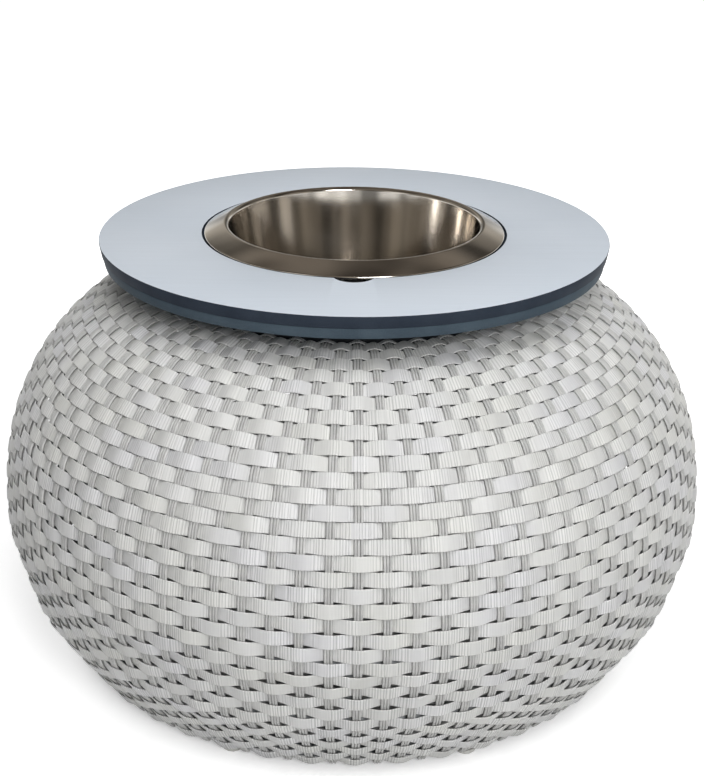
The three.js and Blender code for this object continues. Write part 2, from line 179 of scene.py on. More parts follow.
# Depths of fine relief
RIB_BUMP = 0.0004
STRAND_BUMP = 0.0002
FACE_BUMP = 0.00008
BOARD_BUMP = 0.00004
STEEL_BUMP = 0.00004
PAINT_BUMP = 0.00008
SCREW_BUMP = 0.00003
GLIDE_BUMP = 0.00006

# Camera, with the picture's sizes in pixels
FOCAL_PX = 1404.6
IMAGE_WIDTH, IMAGE_HEIGHT = 704, 776
PRINCIPAL = (352.7, 391.6)
SENSOR_WIDTH = 36.0
CAMERA_PLACE = (0.0, -1.3416, 0.8273)
CAMERA_PITCH = math.radians(23.28)
CAMERA_ROLL = math.radians(0.59)

# Floor: a painted glow, seen by the camera and by steel, is cut away under the table, is weak near it so
# the lamps' shadow shows there, and whitens it further out
FLOOR_HALF = 6.0
FLOOR_GREY = 0.75
DARK_WITHIN = (0.25, 0.32)
WHITE_FROM = (0.45, 1.3)
NEAR_GLOW = 0.6
FAR_GLOW = 0.4

# World: faint plain light, and what polished steel mirrors from the horizon up to the zenith
AMBIENT = 0.05
MIRRORED = (
    (0.0, (1, 1, 1, 1)),
    (0.06, (0.8, 0.8, 0.78, 1)),
    (0.2, (0.27, 0.25, 0.22, 1)),
    (0.8, (0.11, 0.095, 0.08, 1)),
)
MIRRORED_PATCH_SCALE = 2.4
MIRRORED_PATCH_DETAIL = 1.5
MIRRORED_PATCH_RANGE = (0.38, 0.62, 0.35, 2.0)

# Lamps: name, place, height aimed at, width, watts and whether steel mirrors them
LAMPS = (
    ("key", (0.7, -2.48, 1.65), 0.2, 1.2, 44.0, True),
    ("fill", (-1.7, -1.9, 1.2), 0.2, 1.2, 2.0, True),
    ("overhead", (0.15, -0.9, 2.6), 0.3, 1.6, 34.0, False),
    ("rear_left", (-1.9, 1.9, 1.1), 0.2, 1.4, 18.0, False),
    ("rear_right", (1.9, 1.9, 1.1), 0.2, 1.4, 18.0, False),
)


# Mesh building

def build_mesh(name, points, faces, sharp, corner_values=None, face_materials=None):
    """points (n, 3) in millimetres; faces is a list of index arrays, one row per face."""
    mesh = bpy.data.meshes.new(name)
    sizes = np.concatenate([np.full(len(f), f.shape[1]) for f in faces])
    loops = np.concatenate([f.ravel() for f in faces]).astype(np.int32)
    starts = np.concatenate([[0], np.cumsum(sizes)[:-1]]).astype(np.int32)
    places = (np.asarray(points, np.float64) * MM).astype(np.float32)
    mesh.vertices.add(len(points))
    mesh.vertices.foreach_set("co", places.ravel())
    mesh.loops.add(len(loops))
    mesh.loops.foreach_set("vertex_index", loops)
    mesh.polygons.add(len(sizes))
    mesh.polygons.foreach_set("loop_start", starts)
    mesh.update(calc_edges=True)
    if corner_values is not None:
        attribute = mesh.attributes.new("strip", "FLOAT_VECTOR", "CORNER")
        attribute.data.foreach_set("vector", np.asarray(corner_values, np.float32).ravel())
    if face_materials is not None:
        mesh.polygons.foreach_set("material_index", np.asarray(face_materials, np.int32))
    smooth_but_for_edges(mesh, sharp)
    return mesh


def smooth_but_for_edges(mesh, sharp):
    mesh.polygons.foreach_set("use_smooth", np.ones(len(mesh.polygons), bool))
    mesh.set_sharp_from_angle(angle=math.radians(sharp))


def add_piece(name, mesh, materials, slot, body, *replaced):
    obj = bpy.data.objects.new(name, mesh)
    bpy.context.scene.collection.objects.link(obj)
    for material in materials:
        mesh.materials.append(material)
    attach(obj, body)
    if replaced:
        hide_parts(*replaced)
    return obj


def outward(points, faces):
    """Turns all faces round if they enclose a negative volume."""
    volume = 0.0
    for f in faces:
        a = points[f[:, 0]]
        for i in range(1, f.shape[1] - 1):
            b = points[f[:, i]]
            c = points[f[:, i + 1]]
            volume += np.einsum("ij,ij->", a, np.cross(b, c))
    return faces if volume > 0 else [f[:, ::-1] for f in faces]


def grid_quads(along, around, close_along, close_around):
    """Quads of a grid of points numbered along * around."""
    i = np.arange(along if close_along else along - 1)
    j = np.arange(around if close_around else around - 1)
    i, j = np.meshgrid(i, j, indexing="ij")
    i2, j2 = (i + 1) % along, (j + 1) % around
    quads = np.stack([i * around + j, i2 * around + j, i2 * around + j2, i * around + j2], -1)
    return quads.reshape(-1, 4)


def full_turn(steps):
    return np.arange(steps) * 2 * math.pi / steps


def turned(r, z, angle):
    """Points at radius r and height z, turned by an angle from the front."""
    return np.stack(np.broadcast_arrays(r * np.sin(angle), -r * np.cos(angle), z), -1)


def swept(section, segments):
    """Points of a section of (r, z) points that is turned once round the axis."""
    section = np.asarray(section, float)
    angle = full_turn(segments)[:, None]
    return turned(section[None, :, 0], section[None, :, 1], angle).reshape(-1, 3)


def lathe(section, segments):
    """Closed ring of a section that doesn't touch the axis."""
    points = swept(section, segments)
    return points, outward(points, [grid_quads(segments, len(section), True, True)])


def tube(path, radius, sides):
    """Round tube along a path of points, with flat ends."""
    path = np.asarray(path, float)
    tangent = np.gradient(path, axis=0)
    tangent /= np.linalg.norm(tangent, axis=1, keepdims=True)
    side = np.cross(tangent, [0.0, 0.0, 1.0])
    side /= np.linalg.norm(side, axis=1, keepdims=True)
    up = np.cross(side, tangent)
    angle = full_turn(sides)[None, :, None]
    ring = side[:, None] * np.cos(angle) + up[:, None] * np.sin(angle)
    points = (path[:, None] + radius * ring).reshape(-1, 3)
    last = (len(path) - 1) * sides
    ends = [np.arange(sides)[None, ::-1], (last + np.arange(sides))[None, :]]
    return points, [grid_quads(len(path), sides, False, True), *ends]


def joined(parts):
    """One list of points and faces from several."""
    points, faces, offset = [], [], 0
    for p, fs in parts:
        points.append(p)
        faces.extend(f + offset for f in fs)
        offset += len(p)
    return np.concatenate(points), faces


def run_along(line):
    """Distance of each point of a line from its first."""
    return np.concatenate([[0], np.cumsum(np.linalg.norm(np.diff(line, axis=0), axis=1))])


def outward_normals(line):
    """Unit directions to the right of a line of (r, z) points, outward where the line goes up."""
    tangent = np.gradient(line, axis=0)
    tangent /= np.linalg.norm(tangent, axis=1, keepdims=True)
    return np.stack([tangent[:, 1], -tangent[:, 0]], -1)


def corner_arc(before, here, after, bend):
    """Centre, first angle and turn of the arc that rounds a corner."""
    before = (before - here) / np.linalg.norm(before - here)
    after = (after - here) / np.linalg.norm(after - here)
    half = math.acos(np.clip(before @ after, -1, 1)) / 2
    middle = (before + after) / np.linalg.norm(before + after)
    centre = here + middle * bend / math.sin(half)
    reach = bend / math.tan(half)
    start = here + before * reach - centre
    end = here + after * reach - centre
    first = math.atan2(start[1], start[0])
    turn = (math.atan2(end[1], end[0]) - first + math.pi) % (2 * math.pi) - math.pi
    return centre, first, turn


def arc_points(centre, radius, first, turn, steps):
    angle = first + turn * np.arange(steps + 1) / steps
    return centre + radius * np.stack([np.cos(angle), np.sin(angle)], -1)


def rounded_section(corners):
    """Closed section from (r, z, bend) corners, each rounded by its bend."""
    places = np.array([corner[:2] for corner in corners], float)
    parts = []
    for i, (_, _, bend) in enumerate(corners):
        if bend:
            after = places[(i + 1) % len(places)]
            centre, first, turn = corner_arc(places[i - 1], places[i], after, bend)
            parts.append(arc_points(centre, bend, first, turn, EDGE_STEPS))
        else:
            parts.append(places[i:i + 1])
    return np.concatenate(parts)


def rounded_path(corners):
    """Open path of (r, z, bend) corners, rounded at all but its ends."""
    places = np.array([corner[:2] for corner in corners], float)
    parts = [places[:1]]
    for i in range(1, len(corners) - 1):
        bend = corners[i][2]
        centre, first, turn = corner_arc(places[i - 1], places[i], places[i + 1], bend)
        steps = max(FEWEST_BEND_STEPS, round(abs(math.degrees(turn)) / BEND_STEP_ANGLE))
        parts.append(arc_points(centre, bend, first, turn, steps))
    return np.concatenate([*parts, places[-1:]])


# Outline of the weave

LOWER_CREASE = (WIDEST_RADIUS - LOWER_CREASE_INSET, LOWER_CREASE_HEIGHT)
LOWER_EDGE = (LOWER_CREASE[0] - EDGE_INSET, EDGE_HEIGHT)
WIDEST = (WIDEST_RADIUS, WIDEST_HEIGHT)


def weave_outline():
    """Outer outline as (r, z) points, from the lower edge up to the crown's inner edge."""
    points = [LOWER_EDGE, LOWER_CREASE, WIDEST]
    angle = DOME_START_ANGLE
    for radius, end in DOME_ARCS:
        start = math.radians(angle)
        centre_r = points[-1][0] - radius * math.cos(start)
        centre_z = points[-1][1] - radius * math.sin(start)
        steps = max(2, round(abs(end - angle)))
        for i in range(1, steps + 1):
            a = math.radians(angle + (end - angle) * i / steps)
            points.append((centre_r + radius * math.cos(a), centre_z + radius * math.sin(a)))
        angle = end
    points.append((points[-1][0] - CROWN_FLAT_WIDTH, points[-1][1]))
    return np.array(points)


def softened(line, reach):
    """Line whose points are the means of those within reach, with its ends kept."""
    before = 2 * line[0] - line[reach:0:-1]
    after = 2 * line[-1] - line[-2:-reach - 2:-1]
    padded = np.concatenate([before, line, after])
    kernel = np.ones(2 * reach + 1) / (2 * reach + 1)
    return np.stack([np.convolve(padded[:, i], kernel, "valid") for i in (0, 1)], -1)


def weave_profile(outline):
    """Run from the lower edge, middle of the weave and outward direction, in even steps."""
    run = run_along(outline)
    samples = np.arange(0, run[-1], OUTLINE_STEP)
    line = np.stack([np.interp(samples, run, outline[:, i]) for i in (0, 1)], -1)
    line = softened(line, CREASE_SOFTENING)
    normal = outward_normals(line)
    return samples, line - normal * MIDDLE_DEPTH, normal


OUTLINE = weave_outline()
CROWN_RADIUS, CROWN_HEIGHT = OUTLINE[-1]
RUN, MIDDLE, NORMAL = weave_profile(OUTLINE)


def on_profile(s):
    """Point on the middle of the weave and outward direction at run s, as (r, z) pairs."""
    point = np.stack([np.interp(s, RUN, MIDDLE[:, i]) for i in (0, 1)], -1)
    normal = np.stack([np.interp(s, RUN, NORMAL[:, i]) for i in (0, 1)], -1)
    return point, normal / np.linalg.norm(normal, axis=-1, keepdims=True)


# Strips

def slow_wave(angle, size):
    """Smooth closed wander round the table."""
    total = np.zeros_like(angle)
    for waves in WANDER_WAVES:
        height = rng.normal(0, size / 2)
        total += height * np.sin(waves * angle + rng.uniform(0, WANDER_PHASE))
    return total


def uneven(phase):
    """Share of the full wave at each stake, blended from stake to stake."""
    share = 1 + rng.normal(0, BAND_WAVE_SPREAD, STAKES)
    return np.interp(phase % STAKES, np.arange(STAKES + 1), np.append(share, share[0]))


def blend(pair, share):
    return pair[0] + (pair[1] - pair[0]) * share


def band_section(half_width):
    """Section of a strip, as (across, out) points: bevelled at both edges and slightly cupped."""
    flat = half_width - BAND_BEVEL
    t = BAND_HALF_THICKNESS
    section = np.array([
        (-half_width, 0),
        (-flat, t),
        (0, t),
        (flat, t),
        (half_width, 0),
        (flat, -t),
        (-flat, -t),
    ])
    section[:, 1] += BAND_CUP * (1 - (section[:, 0] / half_width) ** 2)
    return section


def band_values(quads, section, radius, row):
    """Length along the strip, distance across it and row, for each corner of the quads."""
    step = quads[:, 0] // len(section)
    corner_step = np.stack([step, step + 1, step + 1, step], -1)
    length = corner_step * (2 * math.pi * radius / BAND_STEPS)
    across = section[quads % len(section), 0]
    return np.stack([length, across, np.full_like(across, row + 2)], -1)


def band(row, low, high):
    """One horizontal strip that passes over every other stake."""
    (start, end), _ = on_profile(np.array([low, high]))
    across = (end - start) / np.linalg.norm(end - start)
    normal = np.array([across[1], -across[0]])
    centre = (start + end) / 2
    down = (row + 1) / ROWS
    section = band_section(blend(BAND_HALF_WIDTH, down) * (high - low) / PITCH)
    angle = full_turn(BAND_STEPS)
    phase = (angle - FIRST_STAKE) / STAKE_TURN
    passing = np.cos(math.pi * (phase + row + 1))
    wave = BAND_WAVE * passing * uneven(phase)
    tilt = slow_wave(angle, BAND_TILT)
    shift = slow_wave(angle, BAND_SHIFT)
    # a strip is pressed narrower where it passes behind a stake
    pinch = 1 - blend(BAND_PINCH, down ** 2) * (1 - passing) / 2
    u = section[None, :, 0] * pinch[:, None] + shift[:, None]
    h = section[None, :, 1] + wave[:, None] + tilt[:, None] * section[None, :, 0]
    r = centre[0] + across[0] * u + normal[0] * h
    z = centre[1] + across[1] * u + normal[1] * h
    points = turned(r, z, angle[:, None]).reshape(-1, 3)
    quads = grid_quads(BAND_STEPS, len(section), True, True)
    return points, quads, band_values(quads, section, centre[0], row)


def band_piece(name, rows, material):
    points, quads, values, offset = [], [], [], 0
    for row, low, high in rows:
        p, q, c = band(row, low, high)
        points.append(p)
        quads.append(q + offset)
        values.append(c)
        offset += len(p)
    points, quads, values = map(np.concatenate, (points, quads, values))
    faces = outward(points, [quads])[0]
    if not np.array_equal(faces, quads):
        values = values[:, ::-1]
    mesh = build_mesh(name, points, [faces], BAND_CREASE, values)
    add_piece(name, mesh, [material], "rattan", TABLE, "woven_shell")


# Stakes

def stake_line(stake):
    """Middle line of a stake from its folded foot to the crown, and its outward directions."""
    s = np.arange(STAKE_FOOT_MARGIN, RUN[-1] - STAKE_CROWN_MARGIN, STRAND_STEP)
    line, normal = on_profile(s)
    wave = STRAND_WAVE * np.cos(math.pi * (ROWS - s / PITCH - 0.5 + stake))
    line = line + normal * wave[:, None]
    # fold round the lower edge, in the plane of the axis
    ahead = np.array([-normal[0, 1], normal[0, 0]])
    centre = line[0] - normal[0] * FOLD_RADIUS
    a = np.radians(np.linspace(-FOLD_SWEEP, 0, FOLD_STEPS + 1)[:-1])[:, None]
    foot = centre + FOLD_RADIUS * (np.cos(a) * normal[0] + np.sin(a) * ahead)
    line = np.concatenate([foot, line])
    return line, outward_normals(line)


def strand_points(line, normal, theta, lane):
    around = full_turn(STRAND_SIDES)
    spread = lane * STRAND_SPACING + rng.normal(0, STRAND_WANDER)
    sink = -STRAND_SINK if lane else 0.0
    side = spread + STRAND_RADIUS * np.cos(around)[None, :]
    up = sink + STRAND_RADIUS * np.sin(around)[None, :]
    r = line[:, :1] + normal[:, :1] * up
    z = line[:, 1:] + normal[:, 1:] * up
    side = np.broadcast_to(side, r.shape)
    x = r * math.sin(theta) + side * math.cos(theta)
    y = -r * math.cos(theta) + side * math.sin(theta)
    return np.stack([x, y, z], -1).reshape(-1, 3)


def strand_faces(count):
    """Quads of a strand of so many rings with an even number of sides, closed at both ends."""
    quads = grid_quads(count, STRAND_SIDES, False, True)
    first = np.array([[0, k, k + 1, k + 2] for k in range(1, STRAND_SIDES - 1, 2)])
    last = (count - 1) * STRAND_SIDES + first[:, ::-1]
    return np.concatenate([quads, first, last])


def stake_piece(name, stakes, material):
    """Upright stakes, folded inwards at the foot."""
    points, faces, values, offset = [], [], [], 0
    for stake in stakes:
        theta = FIRST_STAKE + stake * STAKE_TURN
        line, normal = stake_line(stake)
        length = run_along(line)
        for lane in (-1, 0, 1):
            p = strand_points(line, normal, theta, lane)
            q = outward(p, [strand_faces(len(line))])[0]
            run = length[q // STRAND_SIDES]
            tone = np.full_like(run, stake + FIRST_STAKE_TONE)
            points.append(p)
            faces.append(q + offset)
            values.append(np.stack([run, np.full_like(run, lane), tone], -1))
            offset += len(p)
    points, faces, values = map(np.concatenate, (points, faces, values))
    mesh = build_mesh(name, points, [faces], STRAND_CREASE, values)
    add_piece(name, mesh, [material], "rattan", TABLE, "woven_shell")


# Materials

def srgb(r, g, b):
    """Linear colour from 0-255 display values."""
    out = []
    for value in (r, g, b):
        c = value / 255
        out.append(c / 12.92 if c <= 0.04045 else ((c + 0.055) / 1.055) ** 2.4)
    return (*out, 1.0)


class Nodes:
    """Short names for adding and linking shader nodes."""

    def __init__(self, name):
        self.material = bpy.data.materials.new(name)
        self.material.use_nodes = True
        self.tree = self.material.node_tree
        self.tree.nodes.clear()
        self.shader = self.add("ShaderNodeBsdfPrincipled")
        output = self.add("ShaderNodeOutputMaterial")
        self.link(self.shader.outputs["BSDF"], output.inputs["Surface"])

    def add(self, kind, **settings):
        node = self.tree.nodes.new(kind)
        for key, value in settings.items():
            setattr(node, key, value)
        return node

    def link(self, a, b):
        self.tree.links.new(a, b)

    def put(self, value, socket):
        if hasattr(value, "is_linked"):
            self.link(value, socket)
        else:
            socket.default_value = value

    def set(self, name, value):
        self.put(value, self.shader.inputs[name])

    def math(self, operation, *values):
        node = self.add("ShaderNodeMath", operation=operation)
        for socket, value in zip(node.inputs, values):
            self.put(value, socket)
        return node.outputs[0]

    def times(self, a, b):
        return self.math("MULTIPLY", a, b)

    def times_plus(self, a, b, c):
        return self.math("MULTIPLY_ADD", a, b, c)

    def length(self, x, y):
        return self.math("SQRT", self.math("ADD", self.times(x, x), self.times(y, y)))

    def place(self):
        return self.add("ShaderNodeTexCoord").outputs["Object"]

    def strip(self):
        """Length along, place across and row or stake of a strip or strand."""
        return self.split(self.add("ShaderNodeAttribute", attribute_name="strip").outputs["Vector"])

    def split(self, vector):
        node = self.add("ShaderNodeSeparateXYZ")
        self.link(vector, node.inputs[0])
        return node.outputs

    def combine(self, x, y, z):
        node = self.add("ShaderNodeCombineXYZ")
        for socket, value in zip(node.inputs, (x, y, z)):
            self.put(value, socket)
        return node.outputs[0]

    def noise(self, vector, scale, detail=2.0, roughness=0.5):
        node = self.add("ShaderNodeTexNoise")
        self.put(vector, node.inputs["Vector"])
        node.inputs["Scale"].default_value = scale
        node.inputs["Detail"].default_value = detail
        node.inputs["Roughness"].default_value = roughness
        return node.outputs[0]

    def ramp(self, value, *stops):
        node = self.add("ShaderNodeValToRGB")
        set_stops(node.color_ramp, stops)
        self.link(value, node.inputs[0])
        return node.outputs[0]

    def range(self, value, low, high, to_low, to_high, smooth=False):
        kind = "SMOOTHSTEP" if smooth else "LINEAR"
        node = self.add("ShaderNodeMapRange", interpolation_type=kind)
        for socket, v in zip(node.inputs, (value, low, high, to_low, to_high)):
            self.put(v, socket)
        return node.outputs[0]

    def mix(self, factor, a, b, blend_type="MIX"):
        node = self.add("ShaderNodeMix", data_type="RGBA", blend_type=blend_type)
        self.put(factor, node.inputs[0])
        self.put(a, node.inputs[6])
        self.put(b, node.inputs[7])
        return node.outputs[2]

    def toned(self, base, tone):
        return self.mix(1.0, base, self.combine(tone, tone, tone), "MULTIPLY")

    def bump(self, height, strength, distance):
        node = self.add("ShaderNodeBump")
        node.inputs["Strength"].default_value = strength
        node.inputs["Distance"].default_value = distance
        self.link(height, node.inputs["Height"])
        self.link(node.outputs[0], self.shader.inputs["Normal"])


def set_stops(color_ramp, stops):
    while len(color_ramp.elements) < len(stops):
        color_ramp.elements.new(0.5)
    for element, (position, colour) in zip(color_ramp.elements, stops):
        element.position = position
        element.color = colour


def rattan_band():
    n = Nodes("rattan_band")
    along, across, row = n.strip()
    lane = n.times(row, 31.7)
    place = n.combine(along, lane, 0.0)
    # ribs come and go along each strip
    mask = n.range(n.noise(place, 0.05, 1.0), 0.40, 0.52, 0.1, 1.0, True)
    wobble = n.noise(place, 0.35, 1.0)
    turn = n.times_plus(wobble, RIB_WOBBLE, n.times(along, 2 * math.pi / RIB_PITCH))
    wave = n.times_plus(n.math("SINE", turn), 0.5, 0.5)
    grooves = n.times(n.times(wave, wave), mask)
    fine = n.noise(n.combine(along, lane, n.times(across, 0.04)), 0.7, 2.0, 0.6)
    # tone of each stretch, with painted shade darkening the grooves, more so further down, and a painted
    # sheen making the ribbed stretches paler
    tone = n.range(n.noise(place, 0.04, 1.0), 0.3, 0.7, 0.92, 1.06)
    # painted shade: the grooves are darkened, deeper on the lower rows
    groove_shade = n.range(row, 12.0, 36.0, -0.24, -0.42)
    tone = n.times(tone, n.times_plus(grooves, groove_shade, 1.0))
    # painted sheen: the ribbed stretches are made paler, standing in for ribs catching the light
    tone = n.times(tone, n.times_plus(mask, 0.13, 0.95))
    tone = n.times(tone, n.range(fine, 0.25, 0.75, 0.955, 1.045))
    warm = n.noise(n.combine(along, lane, 3.0), 0.012, 2.0)
    cool_grey = (0.35, srgb(210, 210, 211))
    plain_grey = (0.5, srgb(211, 211, 209))
    warm_grey = (0.65, srgb(210, 210, 206))
    n.set("Base Color", n.toned(n.ramp(warm, cool_grey, plain_grey, warm_grey), tone))
    n.set("Roughness", n.range(fine, 0.2, 0.8, 0.42, 0.56))
    n.set("Specular IOR Level", 0.4)
    n.bump(n.math("SUBTRACT", n.times(fine, 0.5), n.times(grooves, 0.7)), 0.7, RIB_BUMP)
    return n.material


def rattan_stake():
    n = Nodes("rattan_stake")
    along, strand, stake = n.strip()
    place = n.combine(n.times(along, 0.05), n.times(strand, 7.3), n.times(stake, 3.1))
    # the stakes' greys are darker than the strips': painted shade for stakes sitting deeper in the weave
    dark = (0.3, srgb(174, 174, 173))
    middle = (0.5, srgb(187, 187, 185))
    pale = (0.7, srgb(199, 199, 197))
    base = n.ramp(n.noise(place, 1.0, 3.0), dark, middle, pale)
    fine = n.noise(n.combine(along, n.times(strand, 9.0), stake), 0.6, 2.0)
    n.set("Base Color", n.toned(base, n.range(fine, 0.2, 0.8, 0.95, 1.04)))
    n.set("Roughness", n.range(fine, 0.2, 0.8, 0.46, 0.6))
    n.set("Specular IOR Level", 0.35)
    n.bump(fine, 0.4, STRAND_BUMP)
    return n.material


def laminate_face():
    n = Nodes("laminate_face")
    place = n.place()
    x, y, z = n.split(place)
    streaks = n.noise(n.combine(n.times(x, 9.0), n.times(y, 420.0), z), 1.0, 3.0, 0.6)
    clouds = n.noise(place, 7.0, 2.0)
    streak_tone = n.range(streaks, 0.25, 0.75, 0.975, 1.025)
    cloud_tone = n.range(clouds, 0.3, 0.7, 0.985, 1.015)
    base = n.ramp(clouds, (0.3, srgb(205, 213, 222)), (0.7, srgb(208, 215, 223)))
    n.set("Base Color", n.toned(base, n.times(streak_tone, cloud_tone)))
    n.set("Roughness", n.range(streaks, 0.2, 0.8, 0.44, 0.54))
    n.set("Specular IOR Level", 0.12)
    n.bump(streaks, 0.25, FACE_BUMP)
    return n.material


def satin(name, dark, pale, roughness, grain, bump, metallic=0.0, specular=0.5):
    """Painted, moulded or pressed surface with fine grain and slow clouds."""
    n = Nodes(name)
    place = n.place()
    fine = n.noise(place, grain, 3.0, 0.6)
    clouds = n.noise(place, grain / 25, 2.0)
    mottle = n.times_plus(fine, 0.4, n.times(clouds, 0.6))
    n.set("Base Color", n.ramp(mottle, (0.3, srgb(*dark)), (0.7, srgb(*pale))))
    n.set("Roughness", n.range(fine, 0.2, 0.8, roughness - 0.06, roughness + 0.06))
    n.set("Metallic", metallic)
    n.set("Specular IOR Level", specular)
    n.bump(fine, 0.4, bump)
    return n.material


def spun_steel():
    n = Nodes("spun_steel")
    place = n.place()
    x, y, z = n.split(place)
    turning = n.combine(n.times(n.length(x, y), 900.0), n.times(z, 900.0), 0.0)
    rings = n.noise(turning, 1.0, 3.0, 0.65)
    marks = n.noise(place, 14.0, 3.0)
    tone = n.range(marks, 0.25, 0.75, 0.0, 1.0)
    n.set("Base Color", n.mix(tone, srgb(196, 190, 182), srgb(206, 202, 196)))
    n.set("Metallic", 1.0)
    ring_roughness = n.range(rings, 0.2, 0.8, 0.07, 0.13)
    n.set("Roughness", n.math("ADD", ring_roughness, n.range(marks, 0.4, 0.8, 0.0, 0.05)))
    n.bump(rings, 0.12, STEEL_BUMP)
    return n.material


band_material = rattan_band()
stake_material = rattan_stake()
face_material = laminate_face()
steel_material = spun_steel()
core_material = satin(
    "laminate_core", (42, 49, 60), (54, 62, 73), 0.55, 900.0, BOARD_BUMP, specular=0.04,
)
backing_material = satin(
    "dark_layer", (63, 75, 85), (77, 90, 100), 0.55, 900.0, BOARD_BUMP, specular=0.04,
)
tube_material = satin(
    "painted_tube", (132, 135, 137), (150, 153, 155), 0.48, 500.0, PAINT_BUMP, metallic=0.1,
)
# the collar is a real hoop, and the brackets share its paint; its near-black is also painted shade for
# the shadowed gap under the top
collar_material = satin(
    "painted_collar", (26, 30, 35), (38, 43, 48), 0.5, 500.0, PAINT_BUMP,
)
screw_material = satin(
    "screw_steel", (150, 150, 148), (176, 176, 174), 0.34, 1500.0, SCREW_BUMP, metallic=1.0,
)
glide_material = satin(
    "glide_plastic", (192, 192, 187), (203, 202, 198), 0.6, 1200.0, GLIDE_BUMP,
)


# Weave pieces

all_rows = [(row, (ROWS - row - 1) * PITCH, (ROWS - row) * PITCH) for row in range(ROWS)]
crown_row = (-1, ROWS * PITCH, RUN[-1] - CROWN_ROW_MARGIN)
third = ROWS // 3
band_piece("weave_bands_upper", [crown_row] + all_rows[:third], band_material)
band_piece("weave_bands_middle", all_rows[third:2 * third], band_material)
band_piece("weave_bands_lower", all_rows[2 * third:], band_material)
for group in range(3):
    stake_piece(f"weave_stakes_{group + 1}", range(group, STAKES, 3), stake_material)


# Heights and radii that the collar, the top and the bowl share

COLLAR_OUTER = CROWN_RADIUS - SEAT_GAP
COLLAR_INNER = COLLAR_OUTER - COLLAR_THICKNESS
BACKING_BOTTOM = CROWN_HEIGHT + SHADOW_GAP_HEIGHT
BACKING_TOP = BACKING_BOTTOM + BACKING_THICKNESS
PANEL_BOTTOM = BACKING_TOP + SEAT_GAP
PANEL_TOP = PANEL_BOTTOM + PANEL_THICKNESS
REBATE_FLOOR = PANEL_TOP - REBATE_DEPTH
TOP_RADIUS = CROWN_RADIUS + TOP_OVERHANG
BACKING_OUTER = TOP_RADIUS - EDGE_UNDERCUT - BACKING_SETBACK
BACKING_INNER = COLLAR_INNER - BACKING_REACH
BRIM_RADIUS = BACKING_INNER - BRIM_INSET
LIP_RADIUS = BRIM_RADIUS - BRIM_WIDTH
REBATE_RADIUS = BRIM_RADIUS + REBATE_CLEARANCE
CUTOUT_RADIUS = LIP_RADIUS + SHEET / 2 + CUTOUT_CLEARANCE


# Top

def notch_tool():
    """Upright cylinder at the front of the cut-out, where fingers reach under the brim."""
    centre = NOTCH_RADIUS - BRIM_RADIUS - NOTCH_REACH
    count = NOTCH_SEGMENTS
    angle = full_turn(count)
    x = NOTCH_RADIUS * np.cos(angle)
    y = centre + NOTCH_RADIUS * np.sin(angle)
    low = np.c_[x, y, np.full(count, PANEL_BOTTOM - NOTCH_OVERRUN)]
    high = np.c_[x, y, np.full(count, PANEL_TOP + NOTCH_OVERRUN)]
    sides = [(i, (i + 1) % count, count + (i + 1) % count, count + i) for i in range(count)]
    ends = [tuple(range(count - 1, -1, -1)), tuple(range(count, 2 * count))]
    mesh = bpy.data.meshes.new("notch_tool")
    mesh.from_pydata((np.concatenate([low, high]) * MM).tolist(), [], sides + ends)
    mesh.update()
    mesh.materials.append(core_material)
    tool = bpy.data.objects.new("notch_tool", mesh)
    bpy.context.scene.collection.objects.link(tool)
    return tool


def cut_away(piece, tool):
    """Takes the tool out of the piece and removes the tool."""
    cut = piece.modifiers.new("cut", "BOOLEAN")
    cut.object = tool
    cut.operation = "DIFFERENCE"
    cut.solver = "EXACT"
    cut.material_mode = "TRANSFER"
    bpy.context.view_layer.update()
    evaluated = piece.evaluated_get(bpy.context.evaluated_depsgraph_get())
    result = bpy.data.meshes.new_from_object(evaluated)
    piece.modifiers.clear()
    piece.data = result
    bpy.data.objects.remove(tool)


def make_panel():
    """Upper layer: pale face, dark edge, rebated cut-out and finger notch."""
    points, faces = lathe(rounded_section([
        (CUTOUT_RADIUS, PANEL_BOTTOM, PANEL_INNER_EDGE),
        (TOP_RADIUS - EDGE_UNDERCUT, PANEL_BOTTOM, PANEL_CUT_EDGE),
        (TOP_RADIUS, PANEL_TOP, PANEL_EDGE),
        (REBATE_RADIUS, PANEL_TOP, PANEL_CUT_EDGE),
        (REBATE_RADIUS, REBATE_FLOOR, 0),
        (CUTOUT_RADIUS, REBATE_FLOOR, PANEL_INNER_EDGE),
    ]), TOP_SEGMENTS)
    # only the face itself is pale
    face_height = points[faces[0], 2].mean(1)
    index = np.where(face_height > PANEL_TOP - FACE_DEPTH, 0, 1)
    mesh = build_mesh("top_panel", points, faces, TOP_CREASE, face_materials=index)
    materials = [face_material, core_material]
    piece = add_piece("top_panel", mesh, materials, "laminate", TABLE, "tabletop_panel")
    cut_away(piece, notch_tool())
    smooth_but_for_edges(piece.data, TOP_CREASE)


def make_backing():
    """Lower layer, slightly smaller and dark all over."""
    points, faces = lathe(rounded_section([
        (BACKING_INNER, BACKING_BOTTOM, BACKING_INNER_EDGE),
        (BACKING_OUTER - EDGE_UNDERCUT, BACKING_BOTTOM, BACKING_LOWER_EDGE),
        (BACKING_OUTER, BACKING_TOP, BACKING_UPPER_EDGE),
        (BACKING_INNER, BACKING_TOP, BACKING_INNER_EDGE),
    ]), TOP_SEGMENTS)
    mesh = build_mesh("top_backing", points, faces, TOP_CREASE)
    add_piece("top_backing", mesh, [backing_material], "dark_layer", TABLE, "backing_ring")


# Bowl

